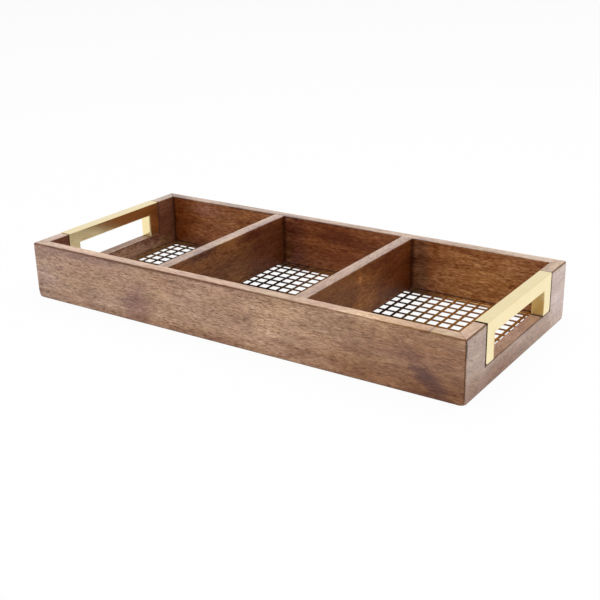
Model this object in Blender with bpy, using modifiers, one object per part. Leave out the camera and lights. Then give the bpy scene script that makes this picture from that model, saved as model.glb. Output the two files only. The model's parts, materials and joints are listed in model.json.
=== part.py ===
"""Compartment tray: a mitred wooden frame round a pierced metal floor, with two dividers and two bar handles.

Metres, +Z up. The origin is the middle of the footprint, on the surface that the tray stands on.
+X runs along the tray to its right end, and +Y runs from its front to its back.
"""

import math

import bmesh
import bpy
from mathutils import Matrix

# Wooden frame
TRAY_LENGTH = 0.400
TRAY_WIDTH = 0.180
TRAY_HEIGHT = 0.0485
BOARD_THICKNESS = 0.010
CORNER_RADIUS = 0.002
OUTER_EDGE_RADIUS = 0.0016
INNER_EDGE_RADIUS = 0.0005
GLUE_GAP = 0.0003

# Loose tongues in the mitres
SPLINE_THICKNESS = 0.002
SPLINE_WIDTH = 0.006
SPLINE_END_MARGIN = 0.009
SPLINE_CLEARANCE = 0.0003

# Pierced floor and the groove that holds it
FLOOR_HEIGHT = 0.0042
FLOOR_THICKNESS = 0.0005
FLOOR_SEAT = 0.002
FLOOR_CLEARANCE = 0.0003
HOLE_SIZE = 0.008
STRIP_WIDTH = 0.00205
PATTERN_SHIFT = 0.0008

# Dividers and their stopped housings
DIVIDER_NAMES = ("left_divider", "right_divider")
DIVIDER_THICKNESS = 0.010
HOUSING_DEPTH = 0.003
HOUSING_STOP = 0.008
HOUSING_CLEARANCE = 0.0003

# Bar handles and their notches
HANDLE_LENGTH = 0.115
HANDLE_LEG_WIDTH = 0.0124
HANDLE_BAR_HEIGHT = 0.011
HANDLE_PROUD = 0.0003
HANDLE_EDGE_RADIUS = 0.0004
NOTCH_FLOOR_HEIGHT = 0.0172
NOTCH_SIDE_GAP = 0.001
NOTCH_SEAT_GAP = 0.0003

# Countersunk screws that hold the handles from below
SCREW_LENGTH = 0.025
SCREW_RADIUS = 0.0015
SCREW_HEAD_RADIUS = 0.0029
SCREW_HEAD_HEIGHT = 0.0015
SCREW_HEAD_RIM = 0.0002
SCREW_TIP_CHAMFER = 0.0004
SCREW_RECESS = 0.0004
SCREW_CLEARANCE = 0.0003
SCREW_HOLE_EXTRA_DEPTH = 0.001
DRIVE_LENGTH = 0.003
DRIVE_WIDTH = 0.0007
DRIVE_DEPTH = 0.0012

# How far a cutter runs past what it cuts, and how near two points are one
OVERRUN = 0.002
WELD_DISTANCE = 0.0000005

ARC_SEGMENTS = 3
SMALL_EDGE_SEGMENTS = 2
ROUND_SEGMENTS = 20
SHARP_ANGLE = math.radians(35)
FLAT_ANGLE = math.radians(1)
QUARTER_TURN = math.radians(90)
MITRE_ANGLE = QUARTER_TURN / 2

INNER_LENGTH = TRAY_LENGTH - 2 * BOARD_THICKNESS
INNER_WIDTH = TRAY_WIDTH - 2 * BOARD_THICKNESS
HOLE_PITCH = HOLE_SIZE + STRIP_WIDTH
FLOOR_TOP = FLOOR_HEIGHT + FLOOR_THICKNESS
DIVIDER_BOTTOM = FLOOR_TOP + FLOOR_CLEARANCE
COMPARTMENT_LENGTH = (INNER_LENGTH - len(DIVIDER_NAMES) * DIVIDER_THICKNESS) / (len(DIVIDER_NAMES) + 1)
HANDLE_BOTTOM = NOTCH_FLOOR_HEIGHT + NOTCH_SEAT_GAP
HANDLE_TOP = TRAY_HEIGHT + HANDLE_PROUD
SCREW_TIP = SCREW_RECESS + SCREW_LENGTH

END_SIDES = {"left": -1, "right": 1}
DEPTH_SIDES = {"front": -1, "back": 1}


def clear_scene():
    for item in list(bpy.data.objects):
        bpy.data.objects.remove(item, do_unlink=True)


def new_collection(name):
    collection = bpy.data.collections.new(name)
    bpy.context.scene.collection.children.link(collection)
    return collection


def new_material(name, colour, roughness, metallic=0.0):
    material = bpy.data.materials.new(name)
    material.use_nodes = True
    shader = material.node_tree.nodes["Principled BSDF"]
    shader.inputs["Base Color"].default_value = (*colour, 1.0)
    shader.inputs["Roughness"].default_value = roughness
    shader.inputs["Metallic"].default_value = metallic
    return material


def add_part(name, mesh, material):
    mesh.materials.clear()
    mesh.materials.append(material)
    part = bpy.data.objects.new(name, mesh)
    bpy.data.collections["compartment_tray"].objects.link(part)
    return part


def add_cutter(name, mesh):
    cutter = bpy.data.objects.new(name, mesh)
    cutter.hide_render = True
    cutter.display_type = "WIRE"
    bpy.data.collections["cutters"].objects.link(cutter)
    return cutter


def apply_boolean(part, cutter, operation="DIFFERENCE"):
    modifier = part.modifiers.new(cutter.name, "BOOLEAN")
    modifier.operation = operation
    modifier.object = cutter


def mesh_from(shape, name):
    """The mesh of a bmesh, which is freed."""
    mesh = bpy.data.meshes.new(name)
    shape.to_mesh(mesh)
    shape.free()
    return mesh


def evaluated_mesh(source):
    """The source object's mesh with its modifiers applied and its points welded. The source is removed."""
    bpy.context.view_layer.update()
    graph = bpy.context.evaluated_depsgraph_get()
    mesh = bpy.data.meshes.new_from_object(source.evaluated_get(graph))
    bpy.data.objects.remove(source, do_unlink=True)
    shape = bmesh.new()
    shape.from_mesh(mesh)
    bmesh.ops.remove_doubles(shape, verts=shape.verts, dist=WELD_DISTANCE)
    shape.to_mesh(mesh)
    shape.free()
    return mesh


def block_mesh(name, low, high):
    """A box between two corners."""
    shape = bmesh.new()
    bmesh.ops.create_cube(shape, size=1)
    size = [top - bottom for bottom, top in zip(low, high)]
    middle = [(top + bottom) / 2 for bottom, top in zip(low, high)]
    bmesh.ops.scale(shape, vec=size, verts=shape.verts)
    bmesh.ops.translate(shape, vec=middle, verts=shape.verts)
    return mesh_from(shape, name)


def plate_mesh(name, outlines, thickness):
    """A flat plate, half its thickness either side of the XY plane: the first outline less the others."""
    curve = bpy.data.curves.new(name, "CURVE")
    curve.dimensions = "2D"
    curve.fill_mode = "BOTH"
    curve.extrude = thickness / 2
    for outline in outlines:
        spline = curve.splines.new("POLY")
        spline.points.add(len(outline) - 1)
        for point, (x, y) in zip(spline.points, outline):
            point.co = (x, y, 0, 1)
        spline.use_cyclic_u = True
    source = bpy.data.objects.new(name, curve)
    bpy.context.scene.collection.objects.link(source)
    return evaluated_mesh(source)


def rectangle(low_x, high_x, low_y, high_y):
    return [(low_x, low_y), (high_x, low_y), (high_x, high_y), (low_x, high_y)]


def stand_across(mesh, x):
    """Turns a plate so that its outline's X and Y become the tray's Y and Z, and puts its middle at x."""
    mesh.transform(Matrix.Translation((x, 0, 0)) @ Matrix(((0, 0, 1, 0), (1, 0, 0, 0), (0, 1, 0, 0), (0, 0, 0, 1))))


def join_flat_faces(mesh):
    """Makes each flat side one face again, so that a bevel runs evenly round it."""
    shape = bmesh.new()
    shape.from_mesh(mesh)
    bmesh.ops.dissolve_limit(shape, angle_limit=FLAT_ANGLE, verts=shape.verts, edges=shape.edges)
    shape.to_mesh(mesh)
    shape.free()


def turned_mesh(name, profile):
    """A body of revolution about Z. The profile is (radius, height) pairs from the top down."""
    mesh = bpy.data.meshes.new(name)
    points = [(radius, 0, height) for radius, height in profile]
    links = [(index, index + 1) for index in range(len(profile) - 1)]
    mesh.from_pydata(points, links, [])
    source = bpy.data.objects.new(name, mesh)
    bpy.context.scene.collection.objects.link(source)
    screw = source.modifiers.new("turn", "SCREW")
    screw.axis = "Z"
    screw.steps = ROUND_SEGMENTS
    screw.render_steps = ROUND_SEGMENTS
    screw.use_merge_vertices = True
    screw.merge_threshold = WELD_DISTANCE
    return evaluated_mesh(source)


def smooth_round_sides(mesh):
    mesh.shade_smooth()
    mesh.set_sharp_from_angle(angle=SHARP_ANGLE)


# Frame: one rounded ring, cut into four boards at the mitres
def quarter_arc(middle_x, middle_y, radius, start):
    """Points of a quarter circle that runs anticlockwise from the start angle."""
    angles = [start + index * QUARTER_TURN / ARC_SEGMENTS for index in range(ARC_SEGMENTS + 1)]
    return [(middle_x + radius * math.cos(angle), middle_y + radius * math.sin(angle)) for angle in angles]


def board_section():
    """A board's section, as (distance in from its outer face, height) pairs."""
    outer = OUTER_EDGE_RADIUS
    inner = INNER_EDGE_RADIUS
    bottom = quarter_arc(outer, outer, outer, 2 * QUARTER_TURN)
    inner_top = quarter_arc(BOARD_THICKNESS - inner, TRAY_HEIGHT - inner, inner, 0)
    outer_top = quarter_arc(outer, TRAY_HEIGHT - outer, outer, QUARTER_TURN)
    return [*bottom, (BOARD_THICKNESS, 0), *inner_top, *outer_top]


def frame_mesh():
    """The board's section swept round the tray. The outside corners are round and the inside ones sharp."""
    shape = bmesh.new()
    section = board_section()
    loops = []
    for corner in range(4):
        side_x = 1 if corner in (0, 3) else -1
        side_y = 1 if corner in (0, 1) else -1
        for step in range(ARC_SEGMENTS + 1):
            angle = (corner + step / ARC_SEGMENTS) * QUARTER_TURN
            loop = []
            for inset, height in section:
                radius = max(CORNER_RADIUS - inset, 0)
                reach = max(CORNER_RADIUS, inset)
                x = side_x * (TRAY_LENGTH / 2 - reach) + radius * math.cos(angle)
                y = side_y * (TRAY_WIDTH / 2 - reach) + radius * math.sin(angle)
                loop.append(shape.verts.new((x, y, height)))
            loops.append(loop)
    for index, loop in enumerate(loops):
        before = loops[index - 1]
        for point in range(len(section)):
            shape.faces.new((before[point - 1], before[point], loop[point], loop[point - 1]))
    bmesh.ops.remove_doubles(shape, verts=shape.verts, dist=WELD_DISTANCE)
    bmesh.ops.recalc_face_normals(shape, faces=shape.faces)
    return mesh_from(shape, "frame")


def mitre_wedge(name, length, width, turn):
    """What one board keeps of the frame: a trapezium with 45 degree ends, built at the front and then turned."""
    front = -width / 2 - OVERRUN
    inside = -width / 2 + BOARD_THICKNESS + OVERRUN
    seam = GLUE_GAP / 2 / math.sin(MITRE_ANGLE)
    half_front = length / 2 + OVERRUN - seam
    half_inside = length / 2 - BOARD_THICKNESS - OVERRUN - seam
    outline = [(-half_front, front), (half_front, front), (half_inside, inside), (-half_inside, inside)]
    mesh = plate_mesh(name, [outline], TRAY_HEIGHT + 2 * OVERRUN)
    mesh.transform(Matrix.Rotation(turn, 4, "Z") @ Matrix.Translation((0, 0, TRAY_HEIGHT / 2)))
    return add_cutter(name, mesh)


def floor_groove():
    """One flat block that grooves all four boards for the edges of the floor."""
    reach = FLOOR_SEAT + FLOOR_CLEARANCE
    half_length = INNER_LENGTH / 2 + reach
    half_width = INNER_WIDTH / 2 + reach
    low = (-half_length, -half_width, FLOOR_HEIGHT - FLOOR_CLEARANCE)
    high = (half_length, half_width, FLOOR_TOP + FLOOR_CLEARANCE)
    return add_cutter("floor_groove", block_mesh("floor_groove", low, high))


def divider_middle(index):
    """How far along the tray a divider's middle is, with all compartments alike."""
    step = COMPARTMENT_LENGTH + DIVIDER_THICKNESS
    return (index + 1) * step - DIVIDER_THICKNESS / 2 - INNER_LENGTH / 2


def divider_housing(name, index):
    """A slot in the front and back boards for one divider's tongues, stopped below the top edge."""
    half_slot = DIVIDER_THICKNESS / 2 + HOUSING_CLEARANCE
    half_width = INNER_WIDTH / 2 + HOUSING_DEPTH + HOUSING_CLEARANCE
    middle = divider_middle(index)
    low = (middle - half_slot, -half_width, FLOOR_TOP)
    high = (middle + half_slot, half_width, TRAY_HEIGHT - HOUSING_STOP + HOUSING_CLEARANCE)
    return add_cutter(name + "_housing", block_mesh(name + "_housing", low, high))


def spline_mesh(name, end, depth, clearance):
    """A tongue that lies square across one mitre, or its slot when it has a clearance."""
    half_width = SPLINE_WIDTH / 2 + clearance
    half_thickness = SPLINE_THICKNESS / 2 + clearance
    low = (-half_width, -half_thickness, SPLINE_END_MARGIN - clearance)
    high = (half_width, half_thickness, TRAY_HEIGHT - SPLINE_END_MARGIN + clearance)
    mesh = block_mesh(name, low, high)
    x = end * (TRAY_LENGTH - BOARD_THICKNESS) / 2
    y = depth * (TRAY_WIDTH - BOARD_THICKNESS) / 2
    turn = -end * depth * MITRE_ANGLE
    mesh.transform(Matrix.Translation((x, y, 0)) @ Matrix.Rotation(turn, 4, "Z"))
    return mesh


def handle_notch(side, end):
    """A cut down from the top edge of an end board, through both of its faces."""
    half_width = HANDLE_LENGTH / 2 + NOTCH_SIDE_GAP
    inside = end * (INNER_LENGTH / 2 - OVERRUN)
    outside = end * (TRAY_LENGTH / 2 + OVERRUN)
    low = (min(inside, outside), -half_width, NOTCH_FLOOR_HEIGHT)
    high = (max(inside, outside), half_width, TRAY_HEIGHT + OVERRUN)
    return add_cutter(side + "_notch", block_mesh(side + "_notch", low, high))


def screw_place(end, depth):
    """Where a handle screw stands: in the middle of the board's thickness and of the handle's leg."""
    return end * (TRAY_LENGTH - BOARD_THICKNESS) / 2, depth * (HANDLE_LENGTH - HANDLE_LEG_WIDTH) / 2


def screw_hole(name, end, depth):
    """The countersunk hole up through the end board and on into the handle's leg, where it ends blind."""
    shank = SCREW_RADIUS + SCREW_CLEARANCE
    head = SCREW_HEAD_RADIUS + SCREW_CLEARANCE
    head_rim = SCREW_RECESS + SCREW_HEAD_RIM + SCREW_CLEARANCE
    head_end = SCREW_RECESS + SCREW_HEAD_HEIGHT + SCREW_CLEARANCE
    blind_end = SCREW_TIP + SCREW_HOLE_EXTRA_DEPTH
    profile = [(0, blind_end), (shank, blind_end), (shank, head_end), (head, head_rim), (head, -OVERRUN), (0, -OVERRUN)]
    mesh = turned_mesh(name + "_hole", profile)
    x, y = screw_place(end, depth)
    mesh.transform(Matrix.Translation((x, y, 0)))
    return add_cutter(name + "_hole", mesh)


def make_boards(material, groove, housings, slots, notches, holes):
    frame = frame_mesh()
    for quarter, side in enumerate(("front", "right", "back", "left")):
        is_end = side in END_SIDES
        length, width = (TRAY_WIDTH, TRAY_LENGTH) if is_end else (TRAY_LENGTH, TRAY_WIDTH)
        board = add_part(side + ("_end_board" if is_end else "_board"), frame.copy(), material)
        apply_boolean(board, mitre_wedge(side + "_wedge", length, width, quarter * QUARTER_TURN), "INTERSECT")
        corner_slots = [slot for corner, slot in slots.items() if side in corner]
        own_cuts = [*holes[side], notches[side]] if is_end else housings
        for cutter in [*own_cuts, groove, *corner_slots]:
            apply_boolean(board, cutter)


def make_splines(material):
    """The four tongues. Returns the slots that the boards have for them, by corner."""
    slots = {}
    for depth_side, depth in DEPTH_SIDES.items():
        for end_side, end in END_SIDES.items():
            name = depth_side + "_" + end_side + "_spline"
            add_part(name, spline_mesh(name, end, depth, 0), material)
            slot_mesh = spline_mesh(name + "_slot", end, depth, SPLINE_CLEARANCE)
            slots[depth_side, end_side] = add_cutter(name + "_slot", slot_mesh)
    return slots


def make_dividers(material):
    """Boards with a tongue at each end, which stops below the top so that no joint shows there."""
    shoulder = INNER_WIDTH / 2 - GLUE_GAP
    tongue = INNER_WIDTH / 2 + HOUSING_DEPTH
    stop = TRAY_HEIGHT - HOUSING_STOP
    right_half = [(tongue, DIVIDER_BOTTOM), (tongue, stop), (shoulder, stop), (shoulder, TRAY_HEIGHT)]
    left_half = [(-y, z) for y, z in reversed(right_half)]
    for index, name in enumerate(DIVIDER_NAMES):
        mesh = plate_mesh(name, [right_half + left_half], DIVIDER_THICKNESS)
        join_flat_faces(mesh)
        stand_across(mesh, divider_middle(index))
        ease_top_edges(mesh)
        divider = add_part(name, mesh, material)
        bevel = divider.modifiers.new("eased_edges", "BEVEL")
        bevel.limit_method = "WEIGHT"
        bevel.width = INNER_EDGE_RADIUS
        bevel.segments = SMALL_EDGE_SEGMENTS


def ease_top_edges(mesh):
    """Marks the two long top edges, which are the ones that run along Y at the tray's height, for a bevel."""
    weights = mesh.attributes.new("bevel_weight_edge", "FLOAT", "EDGE")
    for edge in mesh.edges:
        first, second = (mesh.vertices[index].co for index in edge.vertices)
        at_top = min(first.z, second.z) > TRAY_HEIGHT - GLUE_GAP
        along = abs(first.y - second.y) > DIVIDER_THICKNESS
        weights.data[edge.index].value = float(at_top and along)


def make_floor(material):
    """One sheet with a square grid of holes, whose edges lie in the boards' grooves."""
    half_length = INNER_LENGTH / 2 + FLOOR_SEAT
    half_width = INNER_WIDTH / 2 + FLOOR_SEAT
    columns = int((INNER_LENGTH - STRIP_WIDTH) / HOLE_PITCH)
    rows = int((INNER_WIDTH - STRIP_WIDTH) / HOLE_PITCH)
    half_hole = HOLE_SIZE / 2
    outlines = [rectangle(-half_length, half_length, -half_width, half_width)]
    for column in range(columns):
        x = (column - (columns - 1) / 2) * HOLE_PITCH + PATTERN_SHIFT
        for row in range(rows):
            y = (row - (rows - 1) / 2) * HOLE_PITCH
            outlines.append(rectangle(x - half_hole, x + half_hole, y - half_hole, y + half_hole))
    mesh = plate_mesh("mesh_floor", outlines, FLOOR_THICKNESS)
    mesh.transform(Matrix.Translation((0, 0, FLOOR_HEIGHT + FLOOR_THICKNESS / 2)))
    add_part("mesh_floor", mesh, material)


def make_handles(material, holes):
    """Two inverted U bars, as thick as the end boards, that stand in the notches."""
    outer = HANDLE_LENGTH / 2
    inner = outer - HANDLE_LEG_WIDTH
    under_bar = HANDLE_TOP - HANDLE_BAR_HEIGHT
    right_half = [(inner, under_bar), (inner, HANDLE_BOTTOM), (outer, HANDLE_BOTTOM), (outer, HANDLE_TOP)]
    left_half = [(-y, z) for y, z in reversed(right_half)]
    for side, end in END_SIDES.items():
        name = side + "_handle"
        mesh = plate_mesh(name, [right_half + left_half], BOARD_THICKNESS)
        join_flat_faces(mesh)
        stand_across(mesh, end * (TRAY_LENGTH - BOARD_THICKNESS) / 2)
        handle = add_part(name, mesh, material)
        bevel = handle.modifiers.new("eased_edges", "BEVEL")
        bevel.limit_method = "ANGLE"
        bevel.width = HANDLE_EDGE_RADIUS
        bevel.segments = SMALL_EDGE_SEGMENTS
        for hole in holes[side]:
            apply_boolean(handle, hole)


def drive_cross():
    """The cross that a screwdriver fits, cut up into the screw's head."""
    half_length = DRIVE_LENGTH / 2
    half_width = DRIVE_WIDTH / 2
    corner = [(half_length, half_width), (half_width, half_width), (half_width, half_length)]
    cross = []
    for quarter in range(4):
        turn = Matrix.Rotation(quarter * QUARTER_TURN, 2)
        for x, y in corner:
            cross.append((turn[0][0] * x + turn[0][1] * y, turn[1][0] * x + turn[1][1] * y))
    mesh = plate_mesh("drive_cross", [cross], DRIVE_DEPTH + OVERRUN)
    mesh.transform(Matrix.Translation((0, 0, SCREW_RECESS + (DRIVE_DEPTH - OVERRUN) / 2)))
    return add_cutter("drive_cross", mesh)


def screw_mesh():
    """A countersunk screw that stands on its head, as high as it sits in the tray."""
    profile = [
        (0, SCREW_TIP),
        (SCREW_RADIUS - SCREW_TIP_CHAMFER, SCREW_TIP),
        (SCREW_RADIUS, SCREW_TIP - SCREW_TIP_CHAMFER),
        (SCREW_RADIUS, SCREW_RECESS + SCREW_HEAD_HEIGHT),
        (SCREW_HEAD_RADIUS, SCREW_RECESS + SCREW_HEAD_RIM),
        (SCREW_HEAD_RADIUS, SCREW_RECESS),
        (0, SCREW_RECESS),
    ]
    source = bpy.data.objects.new("screw", turned_mesh("screw", profile))
    bpy.context.scene.collection.objects.link(source)
    apply_boolean(source, drive_cross())
    mesh = evaluated_mesh(source)
    smooth_round_sides(mesh)
    return mesh


def make_screws(material):
    """The four handle screws, which share one mesh. Returns their holes, by end of the tray."""
    mesh = screw_mesh()
    holes = {side: [] for side in END_SIDES}
    for side, end in END_SIDES.items():
        for depth_side, depth in DEPTH_SIDES.items():
            name = side + "_handle_screw_" + depth_side
            x, y = screw_place(end, depth)
            add_part(name, mesh, material).location = (x, y, 0)
            holes[side].append(screw_hole(name, end, depth))
    return holes


def main():
    clear_scene()
    new_collection("compartment_tray")
    new_collection("cutters")
    board_wood = new_material("board_wood", (0.36, 0.21, 0.12), 0.42)
    divider_wood = new_material("divider_wood", (0.26, 0.14, 0.08), 0.38)
    spline_wood = new_material("spline_wood", (0.45, 0.30, 0.17), 0.60)
    floor_metal = new_material("floor_metal", (0.55, 0.33, 0.13), 0.35, 1.0)
    handle_brass = new_material("handle_brass", (0.89, 0.67, 0.33), 0.22, 1.0)
    screw_steel = new_material("screw_steel", (0.50, 0.50, 0.48), 0.35, 1.0)

    slots = make_splines(spline_wood)
    holes = make_screws(screw_steel)
    groove = floor_groove()
    housings = [divider_housing(name, index) for index, name in enumerate(DIVIDER_NAMES)]
    notches = {side: handle_notch(side, end) for side, end in END_SIDES.items()}
    make_boards(board_wood, groove, housings, slots, notches, holes)
    make_dividers(divider_wood)
    make_floor(floor_metal)
    make_handles(handle_brass, holes)


main()
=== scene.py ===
# %% [markdown]
# # Compartment tray
# A low tray of brown hardwood, parted into three by two cross boards, with a pierced brass
# sheet for a floor and a brass bar let into each end as a handle.
#
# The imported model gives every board, bar and sheet its place. This lesson dresses it: the
# visible pieces are made again with finer edges, and each gets a finish made from nodes.
# All lengths are in metres, +X runs along the tray and +Z is up.

# %% Load the model
import json
import math

import bmesh
import bpy
from mathutils import Matrix, Vector

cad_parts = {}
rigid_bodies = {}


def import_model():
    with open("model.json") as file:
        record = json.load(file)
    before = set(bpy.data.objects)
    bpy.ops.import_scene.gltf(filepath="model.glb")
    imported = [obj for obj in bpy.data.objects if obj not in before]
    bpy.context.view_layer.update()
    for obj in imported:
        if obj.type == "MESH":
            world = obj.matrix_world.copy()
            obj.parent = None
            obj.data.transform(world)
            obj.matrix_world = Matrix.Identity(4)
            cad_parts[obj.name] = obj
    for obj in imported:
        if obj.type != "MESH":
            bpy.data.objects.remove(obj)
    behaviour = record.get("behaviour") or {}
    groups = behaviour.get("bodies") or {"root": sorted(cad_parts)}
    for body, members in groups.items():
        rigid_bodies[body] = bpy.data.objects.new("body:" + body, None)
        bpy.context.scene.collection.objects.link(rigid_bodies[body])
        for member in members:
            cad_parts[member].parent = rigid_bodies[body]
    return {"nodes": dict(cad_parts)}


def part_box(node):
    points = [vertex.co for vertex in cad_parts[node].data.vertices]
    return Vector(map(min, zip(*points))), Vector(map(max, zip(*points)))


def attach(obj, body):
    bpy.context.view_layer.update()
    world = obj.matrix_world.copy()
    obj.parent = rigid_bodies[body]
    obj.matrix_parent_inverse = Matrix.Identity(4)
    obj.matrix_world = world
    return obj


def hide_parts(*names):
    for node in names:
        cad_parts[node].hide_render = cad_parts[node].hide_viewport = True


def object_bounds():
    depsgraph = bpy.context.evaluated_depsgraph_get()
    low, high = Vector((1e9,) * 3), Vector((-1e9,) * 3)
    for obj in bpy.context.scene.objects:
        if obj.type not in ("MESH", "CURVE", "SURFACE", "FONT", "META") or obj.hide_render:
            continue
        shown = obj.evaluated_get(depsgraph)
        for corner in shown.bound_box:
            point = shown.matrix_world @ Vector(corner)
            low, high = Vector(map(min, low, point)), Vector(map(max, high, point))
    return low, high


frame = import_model()
CAD_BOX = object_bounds()
MM = 0.001


def in_mm(values):
    """Lengths in millimetres, rounded to be read."""
    return [round(value / MM, 2) for value in values]


print("nodes:", len(frame["nodes"]), "box in mm:", [in_mm(corner) for corner in CAD_BOX])

# %% [markdown]
# ## Sizes
# Only what the model leaves plain, such as how round an edge looks close up, is set
# here.

# %% Sizes read from the model
def vectors(box):
    """A box's two corners, as vectors."""
    return [Vector(corner) for corner in box]


LOW, HIGH = vectors(CAD_BOX)
LENGTH = HIGH.x - LOW.x
WIDTH = HIGH.y - LOW.y
HEIGHT = vectors(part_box("front_board"))[1].z
DIVIDER_BOXES = {name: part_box(name) for name in ("left_divider", "right_divider")}
THICKNESS = DIVIDER_BOXES["left_divider"][1][0] - DIVIDER_BOXES["left_divider"][0][0]
INNER_LENGTH = LENGTH - 2 * THICKNESS
INNER_WIDTH = WIDTH - 2 * THICKNESS
SHEET_LOW, SHEET_HIGH = vectors(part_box("mesh_floor"))
BAR_LOW, BAR_HIGH = vectors(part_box("right_handle"))
print("frame in mm:", in_mm((LENGTH, WIDTH, HEIGHT, THICKNESS)))

# %% [markdown]
# ## Camera
# The camera stands in front of the tray, to its right and above it, about 0.86 m away, and
# its picture is square. A camera's own axes are its right, its up and the way it looks from,
# so a matrix with those three columns turns it. It is tilted by a little over a degree, as a
# camera held by hand is.

# %% Camera
CAMERA_PLACE = Vector((0.45679, -0.65752, 0.31866))
CAMERA_TURN = math.radians(34.197)
CAMERA_DIP = math.radians(21.335)
CAMERA_ROLL = math.radians(-1.293)
FOCAL_LENGTH = 62.586
SENSOR_WIDTH = 36

ahead = Vector((-math.sin(CAMERA_TURN) * math.cos(CAMERA_DIP),
                math.cos(CAMERA_TURN) * math.cos(CAMERA_DIP),
                -math.sin(CAMERA_DIP)))
level = Vector((math.cos(CAMERA_TURN), math.sin(CAMERA_TURN), 0))
above = level.cross(ahead)
right = math.cos(CAMERA_ROLL) * level + math.sin(CAMERA_ROLL) * above
up = math.cos(CAMERA_ROLL) * above - math.sin(CAMERA_ROLL) * level

camera_data = bpy.data.cameras.new("camera")
camera_data.sensor_width = SENSOR_WIDTH
camera_data.sensor_fit = "HORIZONTAL"
camera_data.lens = FOCAL_LENGTH
camera = bpy.data.objects.new("camera", camera_data)
camera.matrix_world = Matrix.Translation(CAMERA_PLACE) @ Matrix((right, up, -ahead)).transposed().to_4x4()
bpy.context.scene.collection.objects.link(camera)
bpy.context.scene.camera = camera
print("camera looks along", [round(v, 3) for v in ahead])

# %% [markdown]
# ## Colours as written
# Blender can pass a picture through a film look that softens its bright colours. The Standard
# view leaves them as they are, so a colour that is chosen for the wood is the one that shows.

# %% View
bpy.context.scene.view_settings.view_transform = "Standard"
print("view:", bpy.context.scene.view_settings.view_transform)

# %% [markdown]
# ## Light and floor
# A tray like this is photographed in a white room, with a large soft lamp overhead. Wood and
# brass need different things from it. The wood is lit by the lamps. The brass mostly shows
# what is around it, so the room itself has to look white in it.
#
# The Light Path node tells the two apart. A ray from the camera sees a plain white room, as
# bright as the floor far off, so that the two meet without a line. One mirrored by metal sees a
# room that is a little dimmer, so that no polished face clips to white. Every other ray sees a
# much dimmer one, which fills the shadows without washing out the wood.

# %% Node helpers
WHITE = (1, 1, 1, 1)


def add_node(tree, kind, inputs=None, **settings):
    """Adds a node, sets its options, and fills its inputs with plain values or links."""
    made = tree.nodes.new(kind)
    for name, value in settings.items():
        setattr(made, name, value)
    for name, value in (inputs or {}).items():
        if isinstance(value, bpy.types.NodeSocket):
            tree.links.new(value, made.inputs[name])
        else:
            made.inputs[name].default_value = value
    return made


def maths(tree, operation, first, *others, clamp=False):
    """Math nodes in a row: the first value, with each of the others in turn."""
    for other in others or (0.0,):
        settings = {"operation": operation, "use_clamp": clamp}
        first = add_node(tree, "ShaderNodeMath", {0: first, 1: other}, **settings).outputs[0]
    return first


def math_step(operation):
    """One of the Math node's operations, as a function."""
    def step(tree, *values, clamp=False):
        return maths(tree, operation, *values, clamp=clamp)
    return step


plus, minus, times, over = (math_step(name) for name in ("ADD", "SUBTRACT", "MULTIPLY", "DIVIDE"))
largest, smallest, absolute = (math_step(name) for name in ("MAXIMUM", "MINIMUM", "ABSOLUTE"))


def seen_directly(tree):
    """1 for a ray from the camera, or one mirrored or let through by a surface, and 0 for any other."""
    path = add_node(tree, "ShaderNodeLightPath").outputs
    return largest(tree, *(path[f"Is {kind} Ray"] for kind in ("Camera", "Glossy", "Transmission")))


print("node helpers ready")

# %% White room
ROOM_FILL = 0.38
ROOM_SEEN = 0.965
ROOM_MIRRORED = 0.89
room = bpy.data.worlds.new("white_room")
bpy.context.scene.world = room
room.use_nodes = True
room_tree = room.node_tree
room_tree.nodes.clear()
lift = add_node(room_tree, "ShaderNodeMapRange",
                {0: seen_directly(room_tree), 3: ROOM_FILL, 4: ROOM_SEEN}).outputs[0]
mirrored = add_node(room_tree, "ShaderNodeLightPath").outputs["Is Glossy Ray"]
lift = minus(room_tree, lift, times(room_tree, mirrored, ROOM_SEEN - ROOM_MIRRORED))
sky = add_node(room_tree, "ShaderNodeBackground", {"Color": WHITE, "Strength": lift})
add_node(room_tree, "ShaderNodeOutputWorld", {"Surface": sky.outputs[0]})
print("room fill:", ROOM_FILL)

# %% [markdown]
# The floor works the same way. Seen directly it is nearly all glow, so it is as white as the
# room, with a small share of real paint in it that still takes the tray's shadow. To all other
# rays it is plain pale paint, which throws soft light back up at the boards. From below it is
# clear, so that the underside of the tray can be looked at too.

# %% Floor
FLOOR_GLOW = 0.95
FLOOR_PAINT = (0.62, 0.62, 0.62, 1)
FLOOR_REACH = 6.0


def mesh_from(shape, name):
    """Turns a finished bmesh into a mesh."""
    mesh = bpy.data.meshes.new(name)
    shape.to_mesh(mesh)
    shape.free()
    return mesh


def mesh_object(name, mesh, collection=None):
    """Puts a mesh or a light in the scene as an object."""
    item = bpy.data.objects.new(name, mesh)
    (collection or bpy.context.scene.collection).objects.link(item)
    return item


floor_material = bpy.data.materials.new("floor_paint")
floor_material.use_nodes = True
floor_tree = floor_material.node_tree
floor_tree.nodes.clear()
paint = add_node(floor_tree, "ShaderNodeBsdfDiffuse", {"Color": FLOOR_PAINT})
glow = add_node(floor_tree, "ShaderNodeEmission", {"Color": WHITE, "Strength": 1.0})
share = times(floor_tree, seen_directly(floor_tree), FLOOR_GLOW)
mixed = add_node(floor_tree, "ShaderNodeMixShader", {0: share, 1: paint.outputs[0], 2: glow.outputs[0]})
clear = add_node(floor_tree, "ShaderNodeBsdfTransparent")
from_below = add_node(floor_tree, "ShaderNodeNewGeometry").outputs["Backfacing"]
sided = add_node(floor_tree, "ShaderNodeMixShader",
                 {0: from_below, 1: mixed.outputs[0], 2: clear.outputs[0]})
add_node(floor_tree, "ShaderNodeOutputMaterial", {"Surface": sided.outputs[0]})

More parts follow.
